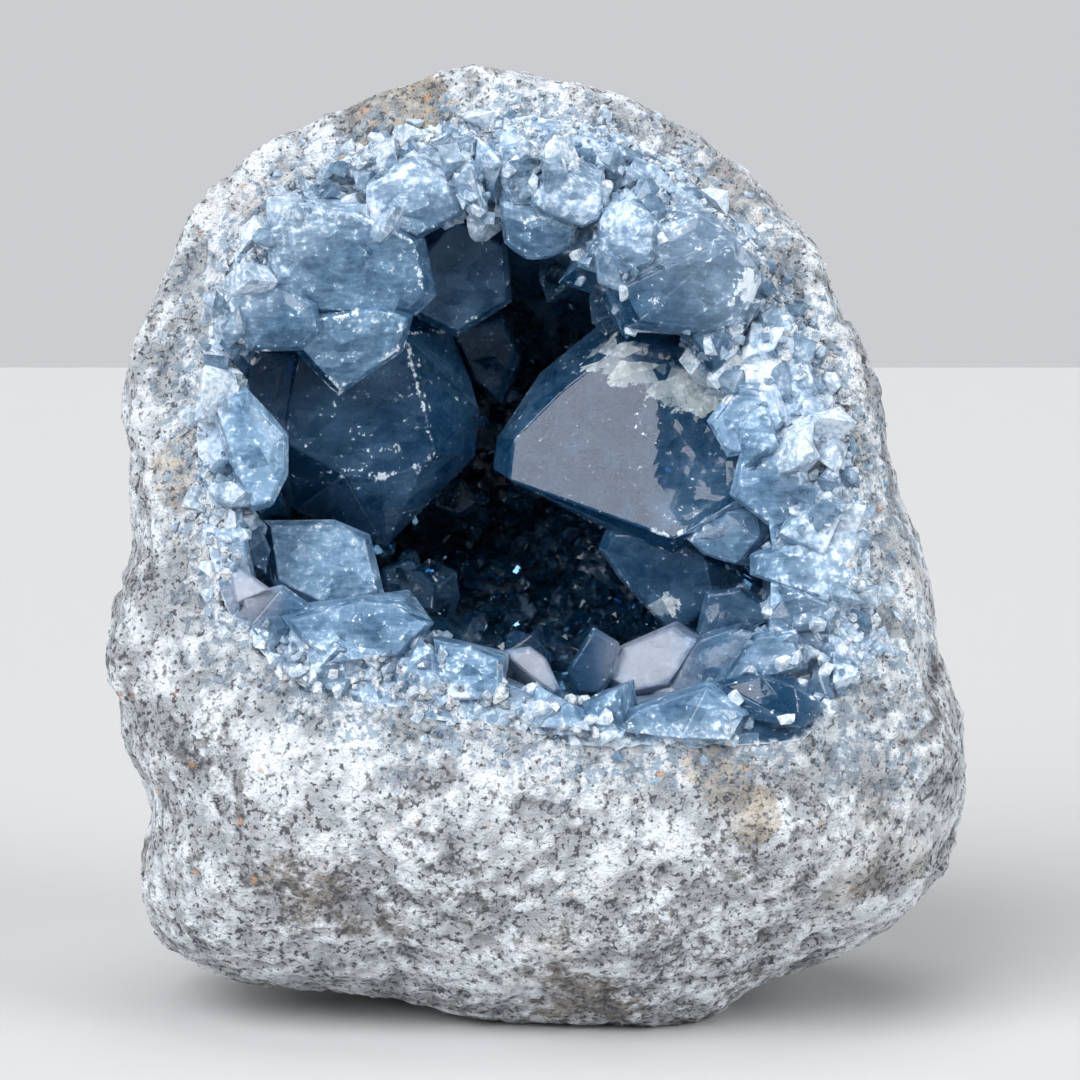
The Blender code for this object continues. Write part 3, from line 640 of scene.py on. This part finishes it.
def crust_finish():
    made = Finish("blue celestite")
    edge, frost, frosted = (made.read(name) for name in ("edge", "frost", "frosted"))
    root, deep, hazy, mirroring = (made.read(name) for name in ("root", "deep", "hazy", "mirroring"))
    tone, bevel = made.read("tone"), made.read("bevel")
    chipped, by_edge = made.read("chipped"), made.read("by_an_edge")
    veils = made.cloud(9 * MM, 4.0, 0.72)
    wisps = made.cloud(1.6 * MM, 3.0, 0.7, 0.4)
    streaks = made.cloud(6 * MM, 3.0, 0.7, made.drawn_out((0.3, 0.5, 0.9), 5.0))
    dust = (wisps + (streaks - 0.5) * 0.3).between(0.66, 0.72)
    cleavage = made.number_of_each_cell(5.5 * MM, made.drawn_out((0.9, 0.4, 0.2), 1.7)) - 0.5
    crust_of_frost = (frosted + (wisps - 0.5) * 1.6 + cleavage * 0.7).between(0.42, 0.6)
    cloudy = (veils - 0.5) * 1.8 + (streaks - 0.5) * 0.9 + (wisps - 0.5) * 0.7 + cleavage * 0.5
    milk = tone + cloudy * (tone * 0.9 + 0.22) + by_edge * tone * 0.2 + frost * 0.1 + bevel * 0.06
    milk = (milk + hazy * (veils + 0.05) * 0.5 + crust_of_frost * (cleavage * 0.9 + 0.45)).held()
    chips = edge * 1.1 + (wisps - 0.5) * 2.6 + (veils - 0.5) * 1.6 + chipped * 0.5 - 0.9
    chips = chips.between(0.35, 0.7)
    whitened = milk * 0.5 + frost * 0.22 + crust_of_frost * 0.12 + by_edge * 0.14 + 0.06
    flecks = (whitened + (wisps - 0.5) * 1.8 + cloudy * 0.15).between(0.6, 1.3)
    # Painted shade: deeper in the hollow the white is left out and, below, the milky share is smaller, so
    # the crust is darker there along with its own clear blue.
    white = ((chips + dust * 0.5 + flecks * 0.8 + frost * 0.22) * (1 - deep)).held()
    colour = made.blend(milk, DEEP_HAZE, MILKY_BLUE)
    colour = made.blend((crust_of_frost * (cleavage + 0.35)).held(), colour, YELLOWISH_FROST)
    colour = made.blend((white + root).held(), colour, PALE_FROST)
    # Painted reflection: a lilac colour on the mirroring faces, and below a larger milky share there.
    colour = made.blend(mirroring * 0.8, colour, PAINTED_LILAC_REFLECTION)
    share = (0.27 - deep * 0.17 + milk * 0.45 + white * 0.6 + root + mirroring * 0.35).held()
    relief = made.relief(wisps * (tone * 0.8 + 0.1) * (1.0 - mirroring), 0.5 * MM, 0.5)
    clear = made.shader(
        Base_Color=CLEAR_TINT, Roughness=0.04 + milk * 0.22, IOR=CELESTITE_IOR, Transmission_Weight=1.0,
    )
    milky = made.shader(Base_Color=colour, Roughness=0.16 + milk * 0.26, IOR=CELESTITE_IOR, Normal=relief)
    surface = made.node("ShaderNodeMixShader", {}, {0: share, 1: clear, 2: milky})
    volume = made.node("ShaderNodeVolumeAbsorption", {}, {"Color": DEEP_BLUE, "Density": BLUE_PER_METRE})
    return made.done(surface, volume)


crust.data.materials.clear()
crust.data.materials.append(crust_finish())
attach(crust, "root")
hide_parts("crystal_crust")


# The small crystals of the rim and the druse, and the crumbs of stone between them
# Stubby celestite crystals and broken grains, 1 to 13 mm wide, that fill the broken edge, cover the joint
# with the stone and line the depth of the hollow, and white crumbs of the stone. Each stands with its foot
# in the crust or the stone.
BROKEN_KINDS = 7
POINTED_KINDS = 5
CORNERS_OF_A_GRAIN = 13
GROWTH_SEED = 5


def broken_grain(rng):
    """A blocky grain about 1 wide: the skin over corners that are spread round a block."""
    bm = bmesh.new()
    stretch = Vector((rng.uniform(0.75, 1), rng.uniform(0.65, 0.95), rng.uniform(0.7, 1.1)))
    for _ in range(CORNERS_OF_A_GRAIN):
        way = Vector((rng.gauss(0, 1), rng.gauss(0, 1), rng.gauss(0, 1))).normalized()
        block = sum(abs(part) ** 5 for part in way) ** -0.2
        bm.verts.new(way * stretch * block * 0.5 * rng.uniform(0.9, 1))
    return bm


def pointed_crystal(rng):
    """A rhombic prism about 1 wide with a chisel tip, which stands on the origin with its root below."""
    bm = bmesh.new()
    thick = rng.uniform(0.3, 0.45)
    shoulder, tip = rng.uniform(0.25, 0.5), rng.uniform(0.7, 1.0)
    ridge, lean = rng.uniform(0.12, 0.3), rng.uniform(-0.12, 0.12)
    for height in (-0.4, shoulder):
        for x, y in ((0.5, 0.1), (0, thick), (-0.5, -0.1), (0, -thick)):
            bm.verts.new((x, y, height))
    for x in (ridge, -ridge):
        bm.verts.new((x, lean, tip))
    return bm


def kinds(name, draw, count, rng):
    """A collection of this many different shapes, none of which shows by itself."""
    found = bpy.data.collections.new(name)
    for index in range(count):
        bm = draw(rng)
        made = bmesh.ops.convex_hull(bm, input=bm.verts[:])
        loose = [item for item in made["geom_interior"] if isinstance(item, bmesh.types.BMVert)]
        bmesh.ops.delete(bm, geom=loose, context="VERTS")
        bmesh.ops.recalc_face_normals(bm, faces=bm.faces)
        found.objects.link(bpy.data.objects.new(f"{name}_{index}", as_mesh(bm, name)))
    return found


class Growing:
    """The node tree that grows crystals on a ground, as many and as large as its own numbers say."""

    INPUTS = [
        ("Ground", "NodeSocketGeometry"), ("Kinds", "NodeSocketCollection"), ("Spacing", "NodeSocketFloat"),
        ("Per square metre", "NodeSocketFloat"),
        ("Smallest", "NodeSocketFloat"), ("Largest", "NodeSocketFloat"),
        ("Tilt", "NodeSocketFloat"), ("Seed", "NodeSocketInt"), ("Finish", "NodeSocketMaterial"),
    ]

    def __init__(self):
        self.tree = bpy.data.node_groups.new("growing crystals", "GeometryNodeTree")
        for name, kind in self.INPUTS:
            self.tree.interface.new_socket(name, in_out="INPUT", socket_type=kind)
        self.tree.interface.new_socket("Crystals", in_out="OUTPUT", socket_type="NodeSocketGeometry")
        given = self.tree.nodes.new("NodeGroupInput").outputs
        points = self.node("GeometryNodeDistributePointsOnFaces", {"distribute_method": "POISSON"}, {
            "Mesh": given["Ground"], "Distance Min": given["Spacing"], "Seed": given["Seed"],
            "Density Max": given["Per square metre"], "Density Factor": self.number_of_the_ground("room"),
        }).outputs
        lean = self.random("FLOAT_VECTOR", (-1, -1, -1), (1, 1, 1), given["Seed"])
        tilt = self.node("ShaderNodeVectorMath", {"operation": "SCALE"}, {0: lean, "Scale": given["Tilt"]})
        tilted = self.node("FunctionNodeEulerToRotation", {}, {0: tilt.outputs[0]}).outputs[0]
        turn = self.random("FLOAT_VECTOR", (0, 0, -math.pi), (0, 0, math.pi), given["Seed"])
        turned = self.node("FunctionNodeEulerToRotation", {}, {0: turn}).outputs[0]
        spun = self.node("FunctionNodeRotateRotation", {"rotation_space": "LOCAL"}, {0: tilted, 1: turned})
        stood = self.node("FunctionNodeRotateRotation", {"rotation_space": "LOCAL"}, {
            0: points["Rotation"], 1: spun.outputs[0],
        })
        size = self.random("FLOAT", given["Smallest"], given["Largest"], given["Seed"])
        size = self.node("ShaderNodeMath", {"operation": "MULTIPLY"}, {
            0: size, 1: self.number_of_the_ground("growth"),
        })
        kinds_of = self.node("GeometryNodeCollectionInfo", {}, {
            "Collection": given["Kinds"], "Separate Children": True, "Reset Children": True,
        })
        tone = self.random("FLOAT", 0.0, 1.0, given["Seed"])
        toned = self.node("GeometryNodeStoreNamedAttribute", {"data_type": "FLOAT", "domain": "POINT"}, {
            "Geometry": points["Points"], "Name": "tone", "Value": tone,
        })
        placed = self.node("GeometryNodeInstanceOnPoints", {}, {
            "Points": toned.outputs[0], "Instance": kinds_of.outputs[0], "Pick Instance": True,
            "Rotation": stood.outputs[0], "Scale": size.outputs[0],
        })
        whole = self.node("GeometryNodeRealizeInstances", {}, {"Geometry": placed.outputs[0]})
        painted = self.node("GeometryNodeSetMaterial", {}, {
            "Geometry": whole.outputs[0], "Material": given["Finish"],
        })
        self.node("NodeGroupOutput", {}, {"Crystals": painted.outputs[0]})

    def node(self, kind, settings, inputs):
        made = self.tree.nodes.new(kind)
        for name, value in settings.items():
            setattr(made, name, value)
        for name, value in inputs.items():
            if isinstance(value, bpy.types.NodeSocket):
                self.tree.links.new(value, made.inputs[name])
            else:
                made.inputs[name].default_value = value
        return made

    def number_of_the_ground(self, name):
        found = self.node("GeometryNodeInputNamedAttribute", {"data_type": "FLOAT"}, {"Name": name})
        return found.outputs[0]

    def random(self, kind, low, high, seed):
        low_at, high_at, gives = (0, 1, 0) if kind == "FLOAT_VECTOR" else (2, 3, 1)
        inputs = {low_at: low, high_at: high, "Seed": seed}
        return self.node("FunctionNodeRandomValue", {"data_type": kind}, inputs).outputs[gives]

    def grown(self, name, ground, **values):
        """A piece with the crystals that this tree grows on the ground, as a plain mesh."""
        modifier = ground.modifiers.new("growing", "NODES")
        modifier.node_group = self.tree
        inputs = [item for item in self.tree.interface.items_tree if item.in_out == "INPUT"]
        sockets = {item.name: item.identifier for item in inputs}
        for label, value in values.items():
            modifier[sockets[label.replace("_", " ")]] = value
        bpy.context.view_layer.update()
        evaluated = ground.evaluated_get(bpy.context.evaluated_depsgraph_get())
        mesh = bpy.data.meshes.new_from_object(evaluated)
        ground.modifiers.clear()
        mesh.name = name
        mesh.polygons.foreach_set("use_smooth", [False] * len(mesh.polygons))
        return linked(name, mesh)


def ground_of(mesh, room, growth):
    """The faces of a mesh that have room for crystals, with room and growth kept for each corner."""
    mesh = mesh.copy()
    for old in list(mesh.attributes):
        if old.name in ("room", "growth"):
            mesh.attributes.remove(old)
    mark(mesh, "room", room)
    mark(mesh, "growth", growth)
    bm = bmesh.new()
    bm.from_mesh(mesh)
    bm.verts.ensure_lookup_table()
    empty = [face for face in bm.faces if all(room[vert.index] < 0.01 for vert in face.verts)]
    bmesh.ops.delete(bm, geom=empty, context="FACES")
    return linked("ground", as_mesh(bm, "ground"))


# Faces of single crystals that small ones leave bare, as (x, z) of the middle and reach, in millimetres.
BARE_FACES = [
    ((-43, 171), 19), ((-59, 162), 10), ((-41, 154), 12), ((36, 173), 20), ((19, 180), 9), ((7, 187), 9),
    ((-1, 181), 10), ((48, 140), 9), ((-65, 134), 9), ((-28, 188), 11), ((57, 106), 12), ((50, 124), 9),
    ((24, 86), 11), ((-2, 84), 7), ((-64, 101), 7), ((36, 86), 9), ((50, 78), 11), ((30, 76), 12),
    ((-59, 95), 9), ((-66, 102), 8), ((-45, 93), 12), ((-15, 85), 8),
]
# Places on the rim that crumbs of the white stone cover, as (x, y, z) and reach, in millimetres.
ROCKY_PLACES = [
    ((-50, -58, 80), 12), ((-36, -61, 78), 12), ((-22, -62, 76), 12), ((-8, -63, 74), 11),
    ((6, -64, 72), 10), ((-64, -53, 90), 9), ((-72, -46, 104), 9), ((-74, -42, 118), 8),
    ((70, -52, 100), 9), ((72, -46, 118), 8), ((64, -48, 134), 9), ((-60, -33, 178), 8),
    ((0, -30, 200), 8), ((54, -34, 172), 9), ((66, -42, 150), 9), ((-72, -36, 150), 9),
]


def bareness(spots):
    bare = np.zeros(len(spots))
    for (x, z), reach in BARE_FACES:
        away = np.hypot(spots[:, 0] - x * MM, spots[:, 2] - z * MM) / (reach * MM)
        bare = np.maximum(bare, 1 - ease(0.6, 1.0, away))
    return bare


def small_crystal_finish(name, milkiness, density):
    made = Finish(name)
    tone = made.read("tone")
    clouds = made.cloud(5 * MM, 3.0, 0.7)
    wisps = made.cloud(1.3 * MM, 2.0, 0.7, 0.5)
    milk = ((clouds - 0.5) * 1.6 + (tone - 0.5) * 0.6 + milkiness).held()
    white = ((milk * 0.6 + (wisps - 0.5) * 1.7 + tone * 0.2).between(0.45, 1.25) + tone * 0.5) * milk
    colour = made.blend(milk, DEEP_HAZE, MILKY_BLUE)
    colour = made.blend(white, colour, PALE_FROST)
    clear = made.shader(
        Base_Color=CLEAR_TINT, Roughness=0.05 + milk * 0.22, IOR=CELESTITE_IOR, Transmission_Weight=1.0,
    )
    relief = made.relief(wisps, 0.4 * MM, 0.4)
    milky = made.shader(Base_Color=colour, Roughness=0.22, IOR=CELESTITE_IOR, Normal=relief)
    share = (0.10 + milk * 0.5 + white * 0.4).held()
    surface = made.node("ShaderNodeMixShader", {}, {0: share, 1: clear, 2: milky})
    volume = made.node("ShaderNodeVolumeAbsorption", {}, {"Color": DEEP_BLUE, "Density": density})
    return made.done(surface, volume)


shapes = random.Random(GROWTH_SEED)
broken_kinds = kinds("broken_grain", broken_grain, BROKEN_KINDS, shapes)
pointed_kinds = kinds("pointed_crystal", pointed_crystal, POINTED_KINDS, shapes)
growing = Growing()
rim_finish = small_crystal_finish("milky celestite", 0.78, 36.0)
# The druse deep in the hollow gets little milk and a strong blue absorption: partly the deep crystals' own
# dark blue, partly painted shade of the hollow.
druse_finish_with_painted_shade = small_crystal_finish("deep celestite", -0.25, 260.0)

crust_spots = places(crust.data)
crust_rim = rim_share(crust_spots)
crust_behind = crust_spots[:, 1] - break_depth(crust_spots)
stone_spots, stone_normals = places(stone.data), outward(stone.data)
stone_near = 1 - ease(2 * MM, 13 * MM, to_crust)
stone_out = ease(-0.2, 0.2, -stone_normals[:, 1]) * ease(0.9, 1.05, rim_share(stone_spots))
bare_crust = bareness(crust_spots)

above_the_lip = ease(84 * MM, 98 * MM, crust_spots[:, 2])
room = ease(-0.1, 0.25, crust_rim) * (1 - ease(0.008, 0.02, crust_behind)) * (1 - bare_crust)
room *= crust_open * above_the_lip
growth = 1 - 0.35 * ease(0.3, 1.0, crust_rim)
rim_ground = ground_of(crust.data, room, growth)
rim_large = growing.grown(
    "rim_crystals", rim_ground, Kinds=broken_kinds, Spacing=6.0 * MM, Per_square_metre=60000.0,
    Smallest=7 * MM, Largest=15 * MM, Tilt=0.8, Seed=3, Finish=rim_finish,
)
room = ease(-0.3, 0.2, crust_rim) * (1 - ease(0.015, 0.04, crust_behind)) * crust_open
room *= 1 - bare_crust * (1 - 0.5 * in_valley)
rim_small_ground = ground_of(crust.data, room, growth)
rim_small = growing.grown(
    "rim_grains", rim_small_ground, Kinds=broken_kinds, Spacing=2.2 * MM, Per_square_metre=160000.0,
    Smallest=1.6 * MM, Largest=5 * MM, Tilt=1.2, Seed=4, Finish=rim_finish,
)
seam = 1 - ease(1.0 * MM, 4 * MM, to_crust)
edge_room = stone_out * np.clip(0.25 * stone_near + seam, 0, 1)
edge_ground = ground_of(stone.data, edge_room, 0.3 + 0.4 * stone_near + 0.6 * seam)
edge_grains = growing.grown(
    "edge_grains", edge_ground, Kinds=broken_kinds, Spacing=2.0 * MM, Per_square_metre=160000.0,
    Smallest=1.8 * MM, Largest=6 * MM, Tilt=1.2, Seed=6, Finish=rim_finish,
)
room = ease(0.03, 0.06, crust_behind) * crust_open * (0.15 + 0.85 * ease(0.055, 0.075, crust_behind))
druse_ground = ground_of(crust.data, room, np.ones(len(room)))
druse = growing.grown(
    "deep_druse", druse_ground, Kinds=pointed_kinds, Spacing=2.2 * MM, Per_square_metre=120000.0,
    Smallest=2.0 * MM, Largest=6 * MM, Tilt=0.6, Seed=8, Finish=druse_finish_with_painted_shade,
)
rocky = patches(crust_spots, ROCKY_PLACES)
uneven = waves(crust_spots, 8 * MM, 50, 2)
room = np.maximum(ease(0.5, 0.9, crust_rim) * ease(-0.15, 0.25, uneven), rocky * ease(-0.5, 0.0, uneven))
room *= (1 - 0.8 * bare_crust) * crust_open
room = np.maximum(room, ease(0.80, 0.92, crust_rim) * (to_stone > 0.2 * MM))
room *= (1 - ease(0.012, 0.03, crust_behind)) * (1 - patches(crust_spots, [WITHOUT_CRUMBS]))
crumb_ground = ground_of(crust.data, room, 0.7 + 0.3 * rocky)
stone_crumbs = growing.grown(
    "stone_crumbs", crumb_ground, Kinds=broken_kinds, Spacing=1.3 * MM, Per_square_metre=500000.0,
    Smallest=1.4 * MM, Largest=4.6 * MM, Tilt=1.2, Seed=9, Finish=stone.data.materials[0],
)
edge_crumbs = growing.grown(
    "edge_crumbs", edge_ground, Kinds=broken_kinds, Spacing=1.5 * MM, Per_square_metre=400000.0,
    Smallest=1.4 * MM, Largest=4.6 * MM, Tilt=1.2, Seed=10, Finish=stone.data.materials[0],
)
for ground in (rim_ground, rim_small_ground, edge_ground, druse_ground, crumb_ground):
    bpy.data.objects.remove(ground)
for piece in (rim_large, rim_small, edge_grains, druse):
    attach(piece, "root")
for piece in (stone_crumbs, edge_crumbs):
    mark(piece.data, "near_crystals", np.full(len(piece.data.vertices), 0.9))
    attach(piece, "root")


# The floor, the lights and the camera
# A plain pale floor and one large soft light high at the front left, which the flat facets mirror, with a
# wider one round it that nothing mirrors. Weaker ones stand at the right and above. The camera is as far
# off and as high as the photograph's.
FLOOR_TONE = (0.72, 0.72, 0.72, 1)
BACKDROP_TONE = (0.60, 0.61, 0.63, 1)
ROOM_LIGHT = 0.22
LOOK_AT = Vector((-0.00027, -0.0078, 0.109))
CAMERA_AWAY = 0.8
CAMERA_RISE = math.radians(5)
SEEN_WIDTH = 0.2512
SENSOR = 36.0

floor_shape = bmesh.new()
bmesh.ops.create_grid(floor_shape, x_segments=1, y_segments=1, size=4)
floor = linked("floor", as_mesh(floor_shape, "floor"))
floor_finish = Finish("pale floor")
floor.data.materials.append(floor_finish.done(floor_finish.shader(Base_Color=FLOOR_TONE, Roughness=0.7)))
floor.visible_glossy = False


def soft_light(name, way, spread, strength, tint, mirrored=True):
    """A wide soft light from this direction, as far off as the walls of a studio."""
    lamp = bpy.data.lights.new(name, "SUN")
    lamp.angle, lamp.energy, lamp.color = math.radians(spread), strength, tint
    light = bpy.data.objects.new(name, lamp)
    bpy.context.scene.collection.objects.link(light)
    light.rotation_euler = Vector(way).to_track_quat("Z", "Y").to_euler()
    light.visible_glossy = mirrored


soft_light("key light", (-0.49, -0.64, 0.60), 44, 1.5, (0.98, 0.97, 1.0))
soft_light("wide key light", (-0.49, -0.64, 0.60), 60, 1.5, (0.96, 0.98, 1.0), mirrored=False)
soft_light("right light", (0.80, -0.55, 0.40), 34, 1.5, (1.0, 1.0, 1.0))
soft_light("top light", (0.05, 0.10, 1.0), 40, 0.9, (0.98, 0.99, 1.0))

world = bpy.data.worlds.new("studio")
world.use_nodes = True
studio = world.node_tree
backdrop = studio.nodes["Background"]
backdrop.inputs["Color"].default_value = BACKDROP_TONE
dim = studio.nodes.new("ShaderNodeBackground")
dim.inputs["Color"].default_value = BACKDROP_TONE
dim.inputs["Strength"].default_value = ROOM_LIGHT
seen = studio.nodes.new("ShaderNodeLightPath")
either = studio.nodes.new("ShaderNodeMixShader")
studio.links.new(seen.outputs["Is Camera Ray"], either.inputs[0])
studio.links.new(dim.outputs[0], either.inputs[1])
studio.links.new(backdrop.outputs[0], either.inputs[2])
studio.links.new(either.outputs[0], studio.nodes["World Output"].inputs["Surface"])

camera = bpy.data.objects.new("camera", bpy.data.cameras.new("camera"))
bpy.context.scene.collection.objects.link(camera)
camera.location = LOOK_AT + CAMERA_AWAY * Vector((0, -math.cos(CAMERA_RISE), math.sin(CAMERA_RISE)))
camera.rotation_euler = (math.pi / 2 - CAMERA_RISE, 0, 0)
camera.data.sensor_width = SENSOR
camera.data.lens = SENSOR * CAMERA_AWAY / SEEN_WIDTH
scene = bpy.context.scene
scene.camera = camera
scene.world = world
scene.view_settings.view_transform = "Standard"
scene.cycles.use_denoising = True
# The default pattern leaves a maze of fine lines on the faces that mirror the key light.
scene.cycles.sampling_pattern = "TABULATED_SOBOL"
scene.cycles.max_bounces = 6
scene.cycles.transmission_bounces = 6
scene.cycles.diffuse_bounces = 2
scene.cycles.glossy_bounces = 3
scene.cycles.caustics_reflective = False
scene.cycles.sample_clamp_indirect = 4.0
